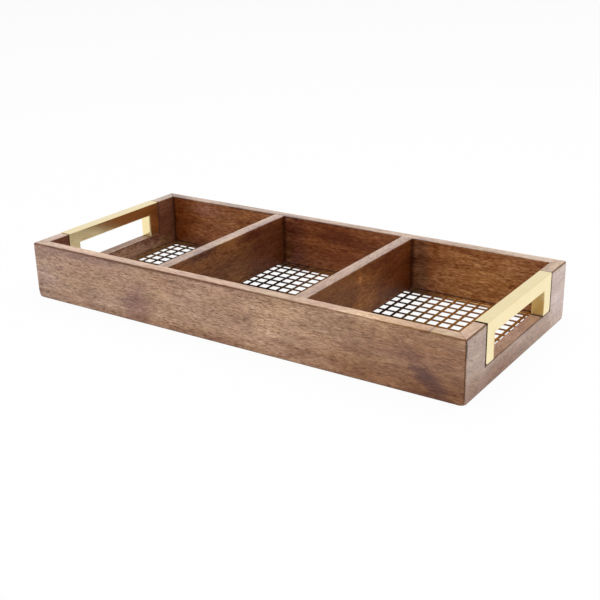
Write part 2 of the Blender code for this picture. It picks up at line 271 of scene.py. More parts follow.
floor_shape = bmesh.new()
bmesh.ops.create_grid(floor_shape, x_segments=1, y_segments=1, size=FLOOR_REACH)
studio_floor = mesh_object("studio_floor", mesh_from(floor_shape, "studio_floor"))
studio_floor.data.materials.append(floor_material)
print("floor glow:", FLOOR_GLOW)

# %% [markdown]
# Four soft lamps do the lighting: a large one overhead, a weaker one from the front left that
# lifts the long front board, a small one for the right end, and a wide low one from behind. A
# lamp is far brighter than the room, and polished brass that mirrored one would turn white, so
# mirrored rays pass the lamps by.

# %% Lamps
# name: (place, aimed at, width, height, watts)
LAMPS = {
    "overhead_lamp": ((0.0, 0.1, 1.5), (0, 0, 0), 1.8, 1.8, 33.0),
    "front_lamp": ((-0.4, -1.8, 0.6), (0, 0, 0.02), 1.6, 1.0, 9.0),
    "end_lamp": ((1.9, -0.3, 0.45), (0.2, 0, 0.02), 1.2, 0.8, 6.0),
    "back_lamp": ((0.9, 2.0, 0.8), (0.2, 0, 0.02), 2.6, 1.4, 9.0),
}
for name, (place, target, wide, high, watts) in LAMPS.items():
    light = bpy.data.lights.new(name, "AREA")
    light.shape = "RECTANGLE"
    light.size, light.size_y, light.energy = wide, high, watts
    lamp = mesh_object(name, light)
    away = Vector(place) - Vector(target)
    lamp.matrix_world = Matrix.Translation(place) @ away.to_track_quat("Z", "Y").to_matrix().to_4x4()
    lamp.visible_glossy = False
print("lamps:", ", ".join(LAMPS))

# %% [markdown]
# ## Node groups
# Several finishes share the same effects, so each effect is a node group: a small machine with
# named inputs and outputs that is built once and placed in every material that needs it. A
# group gives out colours and masks only. The shader stays in the material.

# %% Group helpers
FLOAT, VECTOR, COLOUR = "NodeSocketFloat", "NodeSocketVector", "NodeSocketColor"
ORIGIN = (0, 0, 0)


def new_group(name, inputs, *outputs):
    """An empty shader group. Three numbers make a vector input, four a colour, and one a plain value.
    Returns it with the sockets of its input and output nodes."""
    group = bpy.data.node_groups.new(name, "ShaderNodeTree")
    for label, value in inputs.items():
        kind = {3: VECTOR, 4: COLOUR}[len(value)] if isinstance(value, tuple) else FLOAT
        group.interface.new_socket(label, in_out="INPUT", socket_type=kind).default_value = value
    for label in outputs:
        kind = COLOUR if label == "Colour" else FLOAT
        group.interface.new_socket(label, in_out="OUTPUT", socket_type=kind)
    return group, group.nodes.new("NodeGroupInput").outputs, group.nodes.new("NodeGroupOutput").inputs


def give(group, result, **values):
    """Links each named value to the group's output of that name."""
    for label, value in values.items():
        group.links.new(value, result[label])


def use_group(tree, group, inputs):
    """Places a group in a material. Returns its outputs."""
    return add_node(tree, "ShaderNodeGroup", inputs, node_tree=group).outputs


def vector_maths(tree, operation, first, second=(0, 0, 0)):
    """A Vector Math node's vector."""
    return add_node(tree, "ShaderNodeVectorMath", {0: first, 1: second}, operation=operation).outputs[0]


def scaled(tree, vector, factor):
    """A vector times one number."""
    return add_node(tree, "ShaderNodeVectorMath", {0: vector, 3: factor}, operation="SCALE").outputs[0]


def split(tree, vector):
    """A vector's X, Y and Z."""
    return add_node(tree, "ShaderNodeSeparateXYZ", {0: vector}).outputs


def stretched_noise(tree, vector, along, across, detail, roughness=0.55):
    """Noise drawn out along X: `along` and `across` are how many blotches fit in a metre."""
    inputs = {"Vector": vector_maths(tree, "MULTIPLY", vector, (along, across, across)),
              "Scale": 1.0, "Detail": detail, "Roughness": roughness}
    return add_node(tree, "ShaderNodeTexNoise", inputs).outputs


def ease(tree, value, low, high, to_low=0.0, to_high=1.0):
    """Maps low..high to to_low..to_high, smoothly at both ends."""
    return add_node(tree, "ShaderNodeMapRange", {0: value, 1: low, 2: high, 3: to_low, 4: to_high},
                    interpolation_type="SMOOTHSTEP").outputs[0]


def fade(tree, distance, near, far, peak=1.0):
    """The peak up to the near distance, and nothing from the far one on."""
    return ease(tree, distance, near, far, peak, 0.0)


def mix_colours(tree, factor, first, second, mode="MIX"):
    """A Mix node set to colours: its colours are sockets 6 and 7, and its result is output 2."""
    return add_node(tree, "ShaderNodeMix", {0: factor, 6: first, 7: second},
                    data_type="RGBA", blend_type=mode).outputs[2]


print("group helpers ready")

# %% [markdown]
# ### Grain
# This hardwood has broad, calm bands of light and dark, finer streaks inside them, and many
# short dark flecks, which are cut pores. All three run along the board. Each is noise that is
# drawn out along X, at its own scale, and the bands are bent a little so that they wander.
# The pores come from Voronoi cells: near the middle of a long thin cell lies one short dash.

# %% Grain group
# name: (blotches to a metre along, and across, octaves, roughness, darkest, lightest)
LAYERS = {
    "bands": (9, 90, 4, 0.62, 0.30, 0.70),
    "broad": (70, 420, 3, 0.60, 0.34, 0.66),
    "thin": (200, 900, 3, 0.65, 0.38, 0.62),
    "sown": (45, 200, 3, 0.55, 0.38, 0.60),
    "tears": (230, 1050, 3, 0.65, 0.50, 0.68),
}
DRIFT = (9, 34, 2)
WANDER = 4 * MM
MOTTLE = (22, 55, 3)
CLOUD_RANGE, BLUSH_RANGE = (0.34, 0.66), (0.38, 0.62)
PORE_CELLS = (190, 980, 980)
PORE_DASH = (0.12, 0.40)
TEAR_SHARE = (0.35, 0.8)
BROAD_SHARE = 0.38
STREAK_HEIGHT = 0.25
FIGURE = ("Bands", "Streaks", "Pores", "Clouds", "Blush")


def build_grain():
    group, given, result = new_group("grain", {"Vector": ORIGIN, "Wander": WANDER, "Pore Share": 0.5},
                                     *FIGURE, "Height")
    drift = stretched_noise(group, given["Vector"], *DRIFT)["Color"]
    centred = vector_maths(group, "SUBTRACT", drift, (0.5, 0.5, 0.5))
    sideways = vector_maths(group, "MULTIPLY", centred, (0, 1, 1))
    bent = vector_maths(group, "ADD", given["Vector"], scaled(group, sideways, given["Wander"]))
    layer = {}
    for name, (*noise, darkest, lightest) in LAYERS.items():
        layer[name] = ease(group, stretched_noise(group, bent, *noise)[0], darkest, lightest)
    streaks = plus(group, times(group, layer["broad"], BROAD_SHARE),
                    times(group, layer["thin"], 1 - BROAD_SHARE))

    cells = vector_maths(group, "MULTIPLY", bent, PORE_CELLS)
    dash = add_node(group, "ShaderNodeTexVoronoi", {"Vector": cells, "Scale": 1.0}, feature="F1")
    dashes = times(group, fade(group, dash.outputs["Distance"], *PORE_DASH), layer["sown"])
    tears = times(group, layer["tears"], ease(group, layer["sown"], 0.0, 1.0, *TEAR_SHARE))
    pores = times(group, plus(group, dashes, tears), given["Pore Share"], clamp=True)

    mottle = stretched_noise(group, given["Vector"], *MOTTLE)["Color"]
    mottle = add_node(group, "ShaderNodeSeparateColor", {0: mottle}).outputs
    give(group, result, Bands=layer["bands"], Streaks=streaks, Pores=pores,
         Clouds=ease(group, mottle[0], *CLOUD_RANGE), Blush=ease(group, mottle[1], *BLUSH_RANGE),
         Height=minus(group, times(group, streaks, STREAK_HEIGHT), pores))
    return group


GRAIN = build_grain()
print("grain group:", len(GRAIN.nodes), "nodes")

# %% [markdown]
# ### Stained wood
# The colour of the wood starts from a dark and a light brown, mixed by the bands, and a gain
# that holds all that is broad: patches of the wood's own tone and of painted light and shade,
# and the painted shade that darkens the faces inside the tray. The fine grain comes on top as
# one shade, made of the streaks, the clouds and the pores, which hold the most stain.
#
# How the shade is added matters. On real stained wood a dark streak is nearly as much darker in
# blue as in red, to the eye. Multiplying a linear colour doesn't do that: it turns the dark
# streaks orange. So the group goes over to the eye's own scale with a Gamma node, adds the same
# shade to all three channels there, and comes back with a second one.

# %% Wood colour group
EYE = 2.2
SHADE_BY_CHANNEL = (1.0, 0.98, 0.94)
BLUSH_FROM, BLUSH_TO = (1.004, 1.004, 0.965, 1), (1.0, 0.985, 1.035, 1)
DARKEST = (0.02, 0.02, 0.02)
PORE_DEPTH = 0.45


def build_wood_colour():
    inputs = {**dict.fromkeys(FIGURE, 0.5), "Dark": WHITE, "Light": WHITE, "Gain": WHITE,
              "Streak Depth": 0.0, "Cloud Depth": 0.0, "Pore Depth": 0.0}
    group, given, result = new_group("wood_colour", inputs, "Colour")
    base = mix_colours(group, given["Bands"], given["Dark"], given["Light"])
    base = vector_maths(group, "MULTIPLY", base, mix_colours(group, given["Blush"], BLUSH_FROM, BLUSH_TO))
    base = vector_maths(group, "MULTIPLY", base, given["Gain"])
    seen = add_node(group, "ShaderNodeGamma", {"Color": base, "Gamma": 1 / EYE}).outputs[0]
    shades = [times(group, given["Pores"], given["Pore Depth"], -1.0)]
    for kind in ("Streak", "Cloud"):
        centred = minus(group, given[kind + "s"], 0.5)
        shades.append(times(group, centred, given[kind + " Depth"]))
    brightness = add_node(group, "ShaderNodeRGBToBW", {"Color": seen}).outputs[0]
    shade = times(group, plus(group, *shades), brightness)
    shaded = vector_maths(group, "ADD", seen, scaled(group, SHADE_BY_CHANNEL, shade))
    shaded = vector_maths(group, "MAXIMUM", shaded, DARKEST)
    shaded = add_node(group, "ShaderNodeGamma", {"Color": shaded, "Gamma": EYE}).outputs[0]
    give(group, result, Colour=shaded)
    return group


WOOD_COLOUR = build_wood_colour()
print("wood colour group:", len(WOOD_COLOUR.nodes), "nodes")

# %% [markdown]
# ### Soft patches
# A board is never the same from end to end. A dark heart patch or a pale place is a soft
# egg-shaped mask round a point, turned as the figure runs there, with its rim broken up by
# noise so that no outline shows. The same mask also places painted light and shade: dark
# corners, painted sheen and painted glints.

# %% Patch group
RIM_FADE = (0.25, 1.1)
RIM_NOISE = (60, 260, 3)
RIM_STRAY = 0.9


def build_patch():
    inputs = {"Vector": ORIGIN, "Middle": ORIGIN, "Turn": ORIGIN, "Reach": (1, 1, 1)}
    group, given, result = new_group("soft_patch", inputs, "Mask")
    local = add_node(group, "ShaderNodeMapping", {"Vector": given["Vector"], "Location": given["Middle"],
                                                  "Rotation": given["Turn"], "Scale": given["Reach"]},
                     vector_type="TEXTURE").outputs[0]
    far = add_node(group, "ShaderNodeVectorMath", {0: local}, operation="LENGTH").outputs["Value"]
    stray = minus(group, stretched_noise(group, given["Vector"], *RIM_NOISE)[0], 0.5)
    give(group, result, Mask=fade(group, plus(group, far, times(group, stray, RIM_STRAY)), *RIM_FADE))
    return group


PATCH = build_patch()


def soft_mask(tree, place, middle, reach, turn=(0, 0, 0)):
    """The mask of one patch. Its middle and its reach are in millimetres."""
    return use_group(tree, PATCH, {"Vector": place, "Turn": turn, "Middle": [v * MM for v in middle],
                                   "Reach": [v * MM for v in reach]})["Mask"]


print("patch group:", len(PATCH.nodes), "nodes")

# %% [markdown]
# ### Edge lines
# A thin darker line runs along the long outer edges. Those edges are straight, so the mask
# needs no geometry: how far a point is from two of the tray's outer planes tells how near it
# is to the edge where they meet.
#
# The same distances tell the rest: the inner faces, which get painted shade, the mitres, which
# show as a fine line, and the level tops, where the grain is faint. Nooks are the inner corners
# and the line where the boards meet the floor, which light hardly reaches, so they get painted
# shade as well. Gloss is what the lacquer leaves: full on the outside, and thin inside, along
# the edges and near the ground.

# %% Edge group
# A fade is full up to its first distance and gone at its second. The edge's own is in widths.
EDGE_WIDTH = 1.3 * MM
EDGE_FADE = (0.5, 1.0)
TOP_FADE = (0.1 * MM, 0.6 * MM)
BELOW_TOP = (0.2 * MM, 0.9 * MM)
INNER_FACE = (THICKNESS - 0.8 * MM, THICKNESS - 0.2 * MM)
JOINT_FADE = (0.3 * MM, 0.9 * MM)
JOINT_DEPTH = 0.5
JOINT_NOISE = (260, 260, 2)
JOINT_STRAY = 1.8 * MM
CORNER_FADE = (0.6 * MM, 4 * MM)
SEAM_FADE = (0.3 * MM, 1.2 * MM)
GLOSS_RISE = (2 * MM, 26 * MM)
LOW_GLOSS, INNER_GLOSS = 0.35, 0.12


def off_plane(tree, place, plane):
    """How far a coordinate is from a plane, on either side."""
    return absolute(tree, minus(tree, place, plane))


def build_edge_lines():
    inputs = {"Vector": ORIGIN, "Half Size": (LENGTH / 2, WIDTH / 2, HEIGHT / 2), "Width": EDGE_WIDTH}
    group, given, result = new_group("edge_lines", inputs,
                                     "Line", "Inside", "Joint", "Nook", "Gloss", "Top")
    centred = vector_maths(group, "SUBTRACT", given["Vector"], (0, 0, HEIGHT / 2))
    outward = vector_maths(group, "ABSOLUTE", centred)
    gap = split(group, vector_maths(group, "SUBTRACT", given["Half Size"], outward))
    near = smallest(group, *(largest(group, gap[a], gap[b]) for a, b in ((0, 1), (0, 2), (1, 2))))
    line = fade(group, over(group, near, given["Width"]), *EDGE_FADE)
    inside = times(group, ease(group, smallest(group, gap[0], gap[1]), *INNER_FACE),
                   ease(group, gap[2], *BELOW_TOP))
    stray = minus(group, stretched_noise(group, given["Vector"], *JOINT_NOISE)[0], 0.5)
    off_mitre = plus(group, off_plane(group, gap[0], gap[1]), times(group, stray, JOINT_STRAY))
    joint = fade(group, off_mitre, *JOINT_FADE, JOINT_DEPTH)

    place = split(group, vector_maths(group, "ABSOLUTE", given["Vector"]))
    faces = (INNER_LENGTH / 2, *(corner[0] for corner in DIVIDER_BOXES["right_divider"]))
    upright = smallest(group, *(off_plane(group, place[0], face) for face in faces))
    upright = largest(group, upright, off_plane(group, place[1], INNER_WIDTH / 2))
    nook = largest(group, fade(group, upright, *CORNER_FADE),
                 fade(group, off_plane(group, place[2], SHEET_HIGH.z), *SEAM_FADE))
    bare = minus(group, 1.0, largest(group, line, joint))
    gloss = times(group, ease(group, place[2], *GLOSS_RISE, LOW_GLOSS, 1.0), bare,
                  ease(group, inside, 0.0, 1.0, 1.0, INNER_GLOSS))
    give(group, result, Line=line, Inside=inside, Joint=joint, Nook=times(group, nook, inside),
         Gloss=gloss, Top=fade(group, gap[2], *TOP_FADE))
    return group


EDGE_LINES = build_edge_lines()
print("edge group:", len(EDGE_LINES.nodes), "nodes")

# %% [markdown]
# ### Notch lines
# The end boards are notched for the handles. A fine dark line follows the notch: painted shade
# in the narrow gap beside each leg of the handle, a fainter darker line along the outer edge of
# the notch's floor, and painted shade on that floor at the inner side of each of the handle's
# feet. The masks are distances again: from the two upright sides of the notch, from the outer
# edge of its floor, and from the inner side of each foot.

# %% Notch group
NOTCH_FLOOR = BAR_LOW.z - 0.1 * MM
NOTCH_SLACK = 1.0 * MM
LEG_WIDTH = 12.4 * MM
NOTCH_LINE = 1.1 * MM
LINE_FADE = (0.5, 1.1)
CUT_FADE = (0.1 * MM, 0.4 * MM)
SILL_STRENGTH = 0.45


def build_notch_lines():
    inputs = {"Vector": ORIGIN, "Half Notch": BAR_HIGH.y + NOTCH_SLACK, "Leg": LEG_WIDTH + NOTCH_SLACK,
              "Floor": NOTCH_FLOOR, "Width": NOTCH_LINE}
    group, given, result = new_group("notch_lines", inputs, "Line", "Cut")
    place = split(group, given["Vector"])
    across = minus(group, absolute(group, place[1]), given["Half Notch"])
    above = minus(group, place[2], given["Floor"])
    below = times(group, above, -1.0)
    off_floor = absolute(group, above)
    out = minus(group, LENGTH / 2, absolute(group, place[0]))
    foot = absolute(group, plus(group, across, given["Leg"]))
    lines = []
    # painted shade beside the legs and under the feet, and the fainter darker line along the outer edge of
    # the notch floor
    for distances, strength in (((absolute(group, across), below), 1.0),
                                ((off_floor, out, across), SILL_STRENGTH), ((off_floor, foot), 1.0)):
        steps = over(group, largest(group, *distances), given["Width"])
        lines.append(fade(group, steps, *LINE_FADE, strength))
    cut_face = fade(group, largest(group, across, below), *CUT_FADE)
    give(group, result, Line=largest(group, *lines), Cut=cut_face)
    return group


NOTCH_LINES = build_notch_lines()
print("notch group:", len(NOTCH_LINES.nodes), "nodes")

# %% [markdown]
# ## Wood finishes
# Every board gets its own material, because every board came from another plank: the same
# groups, but another place in the grain, other browns, and its own patches. The grain runs
# along X on the long boards. The end boards and the dividers run along Y, so a Mapping node
# turns the pattern a quarter turn before the grain reads it.
#
# The lacquer is satin. A middling roughness spreads the lamps into a soft sheen, the pores stay
# duller than the wood between them, and a faint bump lets them catch the light.

# %% Material helpers
def tone(red, green, blue):
    """A colour as it is read off a screen, 0 to 255, turned into the linear values that nodes take."""
    linear = [((v / 255 + 0.055) / 1.055) ** 2.4 if v > 10 else v / 255 / 12.92 for v in (red, green, blue)]
    return (*linear, 1.0)


def new_material(name, inputs):
    """A material with these values in its shader. Returns it with its tree, its shader and the place."""
    material = bpy.data.materials.new(name)
    material.use_nodes = True
    shader = material.node_tree.nodes["Principled BSDF"]
    for label, value in inputs.items():
        shader.inputs[label].default_value = value
    place = add_node(material.node_tree, "ShaderNodeTexCoord").outputs["Object"]
    return material, material.node_tree, shader, place


def dress(tree, shader, height, relief, **values):
    """Links each value to the shader's input of that name, with _ for a space, and the relief to Normal."""
    values["Normal"] = add_node(tree, "ShaderNodeBump", {**relief, "Height": height}).outputs[0]
    for label, value in values.items():
        tree.links.new(value, shader.inputs[label.replace("_", " ")])


def tinted(tree, colour, mask, gain):
    """The colour, times the gain where the mask is 1."""
    return vector_maths(tree, "MULTIPLY", colour, mix_colours(tree, mask, WHITE, (*gain, 1)))


print("mid grey, as nodes take it:", [round(value, 3) for value in tone(128, 128, 128)])

# %% Wood material builder
QUARTER_TURN = math.radians(90)
EDGE_LINE_TONE = (66, 46, 32)
# painted shade: the next two are the tone of the shade in the gaps round the handles, and the gain of the
# shade in the inner corners
NOTCH_SHADE_TONE = (46, 28, 20)
NOOK_SHADE_GAIN = (0.44, 0.35, 0.34)
TOP_CALM = 0.3
PLACE_CALM = 0.55
NOTCH_GLOSS = 0.15
PORE_DULL, STREAK_DULL, LINE_DULL = 0.25, 0.06, 0.5
RELIEF = {"Strength": 0.35, "Distance": 0.12 * MM}
SPECULAR = 0.25
COAT_ROUGHNESS = 0.18


def wood_material(name, dark, light, start, turned=False, patches=(), edge=0.75, roughness=0.45,
                  streak=0.38, cloud=0.14, pore_share=0.7, inner=(1, 1, 1), notched=0.0, nook=1.0, calm=()):
    """One board's finish. The inner gain is painted shade on the faces that look into the tray,
    notched is how dark the lines along a notch are, nook is how dark the painted shade in the inner
    corners is, and each calm place is (middle in mm, reach in mm) where the grain is faint."""
    material, tree, shader, place = new_material(
        name, {"Specular IOR Level": SPECULAR, "Coat Roughness": COAT_ROUGHNESS})
    lined_up = add_node(tree, "ShaderNodeMapping", {"Vector": place, "Location": start,
                                                    "Rotation": (0, 0, QUARTER_TURN if turned else 0)})
    grain = use_group(tree, GRAIN, {"Vector": lined_up.outputs[0], "Pore Share": pore_share})
    lines = use_group(tree, EDGE_LINES, {"Vector": place})
    # painted shade: the inner gain darkens and warms every face that looks into the tray
    gain = mix_colours(tree, lines["Inside"], WHITE, (*inner, 1))
    for middle, reach, shade, lean in patches:
        mask = soft_mask(tree, place, middle, reach, (lean, 0, 0) if turned else (0, lean, 0))
        gain = tinted(tree, gain, mask, shade)

    calmed = [times(tree, soft_mask(tree, place, *where), PLACE_CALM) for where in calm]
    plain = largest(tree, times(tree, lines["Top"], TOP_CALM), *calmed)
    figure = minus(tree, 1.0, plain)
    look = use_group(tree, WOOD_COLOUR, {
        **{label: grain[label] for label in FIGURE},
        "Gain": gain, "Dark": tone(*dark), "Light": tone(*light), "Cloud Depth": cloud,
        "Streak Depth": times(tree, figure, streak),
        "Pore Depth": times(tree, figure, PORE_DEPTH)})["Colour"]
    # painted shade in the inner corners and along the foot of the walls at the sheet
    look = tinted(tree, look, times(tree, lines["Nook"], nook), NOOK_SHADE_GAIN)
    dark_lines = times(tree, largest(tree, lines["Line"], lines["Joint"]), edge)
    look = mix_colours(tree, dark_lines, look, tone(*EDGE_LINE_TONE))
    gloss = lines["Gloss"]
    if notched:
        # painted shade in the gaps round the handle, together with the darker line along the notch floor's
        # outer edge
        notch = use_group(tree, NOTCH_LINES, {"Vector": place})
        darkened = times(tree, notch["Line"], notched)
        look = mix_colours(tree, darkened, look, tone(*NOTCH_SHADE_TONE))
        cut_away = largest(tree, notch["Line"], notch["Cut"])
        gloss = times(tree, gloss, ease(tree, cut_away, 0, 1, 1.0, NOTCH_GLOSS))
        dark_lines = largest(tree, dark_lines, darkened)
    dull = [times(tree, grain["Pores"], PORE_DULL), times(tree, grain["Streaks"], STREAK_DULL),
            times(tree, dark_lines, LINE_DULL)]
    dress(tree, shader, grain["Height"], RELIEF, Base_Color=look, Coat_Weight=gloss,
          Roughness=plus(tree, *dull, roughness, clamp=True))
    return material


print("wood finish ready, with stained edges of", EDGE_LINE_TONE)

# %% [markdown]
# ### The boards' patches
# Each board has its own dark and pale places, and they are what sets one face apart from the
# next. Some are the wood's own uneven tone. Many are painted light and shade: dark inner
# corners and dark bands under the top edges inside the compartments, painted light on the right
# of the back board's inside and low on the left end's inside, and painted sheen on the tops and
# the right end. They are listed face by face, because a patch is as deep as it needs to be to
# stay on the face that it is meant for.

# %% Patches
X, Y, Z = range(3)


def on_face(across, place, depth, *rows):
    """Patches on the face that lies across an axis, at a place and with a reach into the wood in mm. Each
    row has its place and its reach along the other two axes, its gain in red, green and blue and, if it
    leans, the degrees that it is turned by."""
    patches = []
    for first, second, wide, high, red, green, blue, *lean in rows:
        middle, reach = [first, second], [wide, high]
        middle.insert(across, place)
        reach.insert(across, depth)
        patches.append((middle, reach, (red, green, blue), math.radians(sum(lean))))
    return patches


TONE_AND_PAINTED_LIGHT = {
    # front board: the pale bluish places on the left of the face and along the top are painted sheen, and
    # the darker right end is partly painted shade, partly the wood's own tone
    "front_board": [
        *on_face(Y, -90, 20, (-190, 14, 30, 30, 0.98, 1.05, 1.26), (-120, 10, 60, 14, 0.98, 1.04, 1.18),
                 (-85, 14, 20, 22, 0.72, 0.62, 0.68), (40, 20, 16, 14, 1.2, 1.25, 1.25),
                 (-50, 12, 26, 12, 1.15, 1.2, 1.3), (140, 10, 96, 24, 0.72, 0.57, 0.4, 5),
                 (186, 18, 48, 44, 0.68, 0.52, 0.34), (150, 38, 62, 18, 0.9, 0.79, 0.62),
                 (68, 12, 40, 13, 0.86, 0.82, 0.84), (0, 36, 26, 15, 0.95, 0.9, 0.88),
                 (48, 36, 46, 15, 1.14, 1.16, 1.12), (-60, 36, 16, 14, 1.14, 1.12, 1.05),
                 (168, 22, 34, 8, 0.8, 0.7, 0.74, 38), (112, 24, 20, 5, 0.856, 0.784, 0.766),
                 (145, 28, 24, 8, 0.838, 0.748, 0.748, 10), (174, 12, 20, 8, 0.6, 0.52, 0.72, 34),
                 (-40, 3, 150, 4, 0.872, 0.808, 0.792)),
        *on_face(Y, -90, 5, (-150, 46, 80, 6, 0.62, 0.54, 0.6)),
        *on_face(Y, -90, 2.4, (-60, 48.3, 170, 2.2, 0.5, 0.38, 0.32)),
        *on_face(Z, 50, 4, (-95, -85, 24, 16, 1.12, 1.2, 1.3), (45, -85, 46, 16, 1.12, 1.24, 1.3),
                 (-184, -85, 26, 16, 0.84, 0.84, 0.92), (184, -85, 16, 16, 1.16, 1.5, 1.6),
                 (0, -85, 260, 16, 1.0, 1.04, 1.14)),
        *on_face(Z, 50, 5, (140, -85, 52, 9, 1.4, 1.6, 1.5)),
        *on_face(Z, 48.8, 3, (172.5, -85, 1.1, 12, 0.42, 0.36, 0.34)),
    ],
    # back board: on its inside, the dark left corner of each compartment and the darker middle compartment
    # are painted shade, the lighter right of the right compartment is painted light, and the pale bluish
    # place high on the left is painted sheen
    "back_board": [
        *on_face(Y, 80, 6, (-188, 24, 44, 80, 0.56, 0.38, 0.2), (0, 30, 96, 44, 0.76, 0.6, 0.44),
                 (-50, 24, 18, 60, 0.7, 0.64, 0.95), (78, 24, 11, 60, 0.63, 0.68, 0.85),
                 (142, 19, 62, 34, 1.3, 1.45, 1.35), (-28, 14, 26, 9, 1.16, 1.3, 1.6),
                 (-58, 18, 9, 20, 1.06, 1.3, 1.0), (75, 14, 14, 10, 1.08, 1.16, 1.0),
                 (102, 32, 24, 10, 0.9, 0.86, 0.76), (150, 32, 26, 12, 1.08, 1.13, 1.11)),
        *on_face(Y, 80, 3, (-140, 38, 40, 20, 0.86, 0.86, 0.84), (30, 40, 70, 16, 0.86, 0.82, 0.76),
                 (-150, 40, 24, 8, 1.32, 1.44, 2.28), (-30, 40, 60, 12, 0.68, 0.6, 0.6)),
        *on_face(Z, 50, 4, (-110, 86, 80, 16, 0.72, 0.66, 0.62), (-56, 86, 22, 16, 0.82, 0.8, 0.8),
                 (-190, 86, 40, 16, 0.4, 0.24, 0.22), (170, 86, 46, 16, 1.09, 1.16, 1.18),
                 (-40, 86, 34, 16, 0.92, 0.87, 0.87)),
        *on_face(Y, 80, 3.4, (-50, 48.5, 150, 2, 0.5, 0.4, 0.36)),
    ],
    # left end: the strong lifts low on its inside face are painted light, as from the pale floor below
    "left_end_board": [
        *on_face(X, -190, 4, (6, 9, 66, 9, 2.5, 4.1, 5.2), (60, 7, 18, 8, 1.35, 1.65, 1.5)),
        *on_face(Z, 49, 4, (-195, 84, 12, 26, 0.75, 0.78, 0.82)),
    ],
    # right end: the pale bluish places on its outer face, most of all at the back, are painted sheen, the
    # dark place low near the front is painted shade, and the thin slanting lines are cracks
    "right_end_board": [
        *on_face(X, 200, 8, (84, 28, 40, 50, 1.6, 1.9, 2.3), (-32, 7, 42, 13, 0.64, 0.44, 0.24),
                 (-76, 10, 14, 12, 0.9, 0.76, 0.56), (74, 12, 16, 16, 1.1, 1.18, 1.3),
                 (-89, 41, 1.8, 9, 0.36, 0.36, 0.34), (-82, 31, 7, 1.0, 0.5, 0.45, 0.42, -28),
                 (-84, 24, 6, 0.8, 0.6, 0.5, 0.5, -24), (-72, 13, 7, 0.8, 0.6, 0.5, 0.5, -26)),
        *on_face(Z, 49, 4, (195, 74, 12, 18, 0.8, 0.8, 0.6), (195, -72, 12, 18, 1.14, 1.2, 1.06)),
    ],
    # dividers: the dark bands under the top edge and the dark ends by the back board are painted shade
    "left_divider": [
        *on_face(X, -60, 7, (-38, 46, 30, 6, 0.52, 0.46, 0.62), (30, 44, 30, 6, 0.62, 0.48, 0.6),
                 (58, 24, 50, 50, 0.66, 0.52, 0.7), (10, 13, 18, 11, 1.24, 1.32, 1.16)),
        *on_face(Z, 50, 4, (-65, -60, 7, 60, 0.8, 0.76, 0.74), (-65, 56, 7, 26, 1.12, 1.2, 1.18)),
    ],
    "right_divider": [
        *on_face(X, 70, 7, (60, 24, 56, 50, 0.62, 0.44, 0.42), (4, 20, 24, 22, 1.36, 1.4, 1.36),
                 (30, 44, 36, 9, 0.68, 0.54, 0.6), (-5, 40, 3, 7, 1.6, 1.6, 1.6)),
        *on_face(Z, 50, 4, (65, -50, 7, 56, 1.2, 1.2, 1.2)),
        *on_face(X, 75, 7, (79, 22, 11, 40, 0.66, 0.72, 0.9)),
    ],
}
print("patches:", {name: len(patches) for name, patches in TONE_AND_PAINTED_LIGHT.items()})

# %% Six planks
# each plank's inner gain is painted shade on its faces inside the tray
DIVIDER_PLANK = {"dark": (136, 105, 84), "light": (158, 128, 106), "turned": True, "edge": 0, "streak": 0.5}
PLANKS = {
    "front_board": {"dark": (156, 117, 88), "light": (179, 141, 110), "start": (0.31, 0.11, 0.02),
                    "edge": 0.6, "streak": 0.40, "pore_share": 0.85},
    "back_board": {"dark": (142, 112, 91), "light": (170, 142, 118), "start": (0.83, 0.41, 0.13),
                   "cloud": 0.19, "streak": 0.55, "inner": (0.88, 0.51, 0.27)},
    "left_end_board": {"dark": (142, 112, 92), "light": (166, 136, 114), "start": (0.57, 0.29, 0.07),
                       "turned": True, "notched": 0.35, "inner": (0.47, 0.26, 0.19), "nook": 0.1},
    "right_end_board": {"dark": (146, 111, 90), "light": (168, 134, 112), "start": (0.19, 0.63, 0.05),
                        "turned": True, "notched": 1.0, "inner": (0.8, 0.5, 0.4), "streak": 0.28,
                        # the calm place lies under the painted sheen at the back of the right end
                        "calm": [((200, 70, 30), (12, 60, 50))]},
    "left_divider": {**DIVIDER_PLANK, "start": (0.41, 0.77, 0.09), "inner": (0.65, 0.375, 0.145)},
    "right_divider": {**DIVIDER_PLANK, "start": (0.67, 0.23, 0.11), "inner": (0.70, 0.41, 0.135)},
}
WOODS = {}
for node_name, plank in PLANKS.items():
    name = node_name.replace("_board", "") + "_wood"
    WOODS[node_name] = wood_material(name, patches=TONE_AND_PAINTED_LIGHT[node_name], **plank)
print("wood finishes:", ", ".join(WOODS))

# %% [markdown]
# ## Frame boards
# The four boards are one moulding: the same section all the way round, mitred at the corners.
# The section is swept round the tray point by point, rounder at the outer corners than at the
# inner ones, and the ring is then cut into four at the mitres, as a joiner cuts a length of
# moulding. A bevel on a plain box would not give the corners their true round sweep.

# %% Moulding
OUTER_EDGE = 1.6 * MM
INNER_EDGE = 0.5 * MM
CORNER = 2.0 * MM
CORNER_AT_FOOT = 4.8 * MM
FOOT = 7.0 * MM
CORNER_STEPS = 8
OUTER_STEPS, INNER_STEPS = 6, 4
WELD = 0.0005 * MM


def quarter_arc(x, y, radius, start, steps):
    """Points on a quarter circle that runs anticlockwise from the start angle."""
    angles = [start + index * QUARTER_TURN / steps for index in range(steps + 1)]
    return [(x + radius * math.cos(angle), y + radius * math.sin(angle)) for angle in angles]


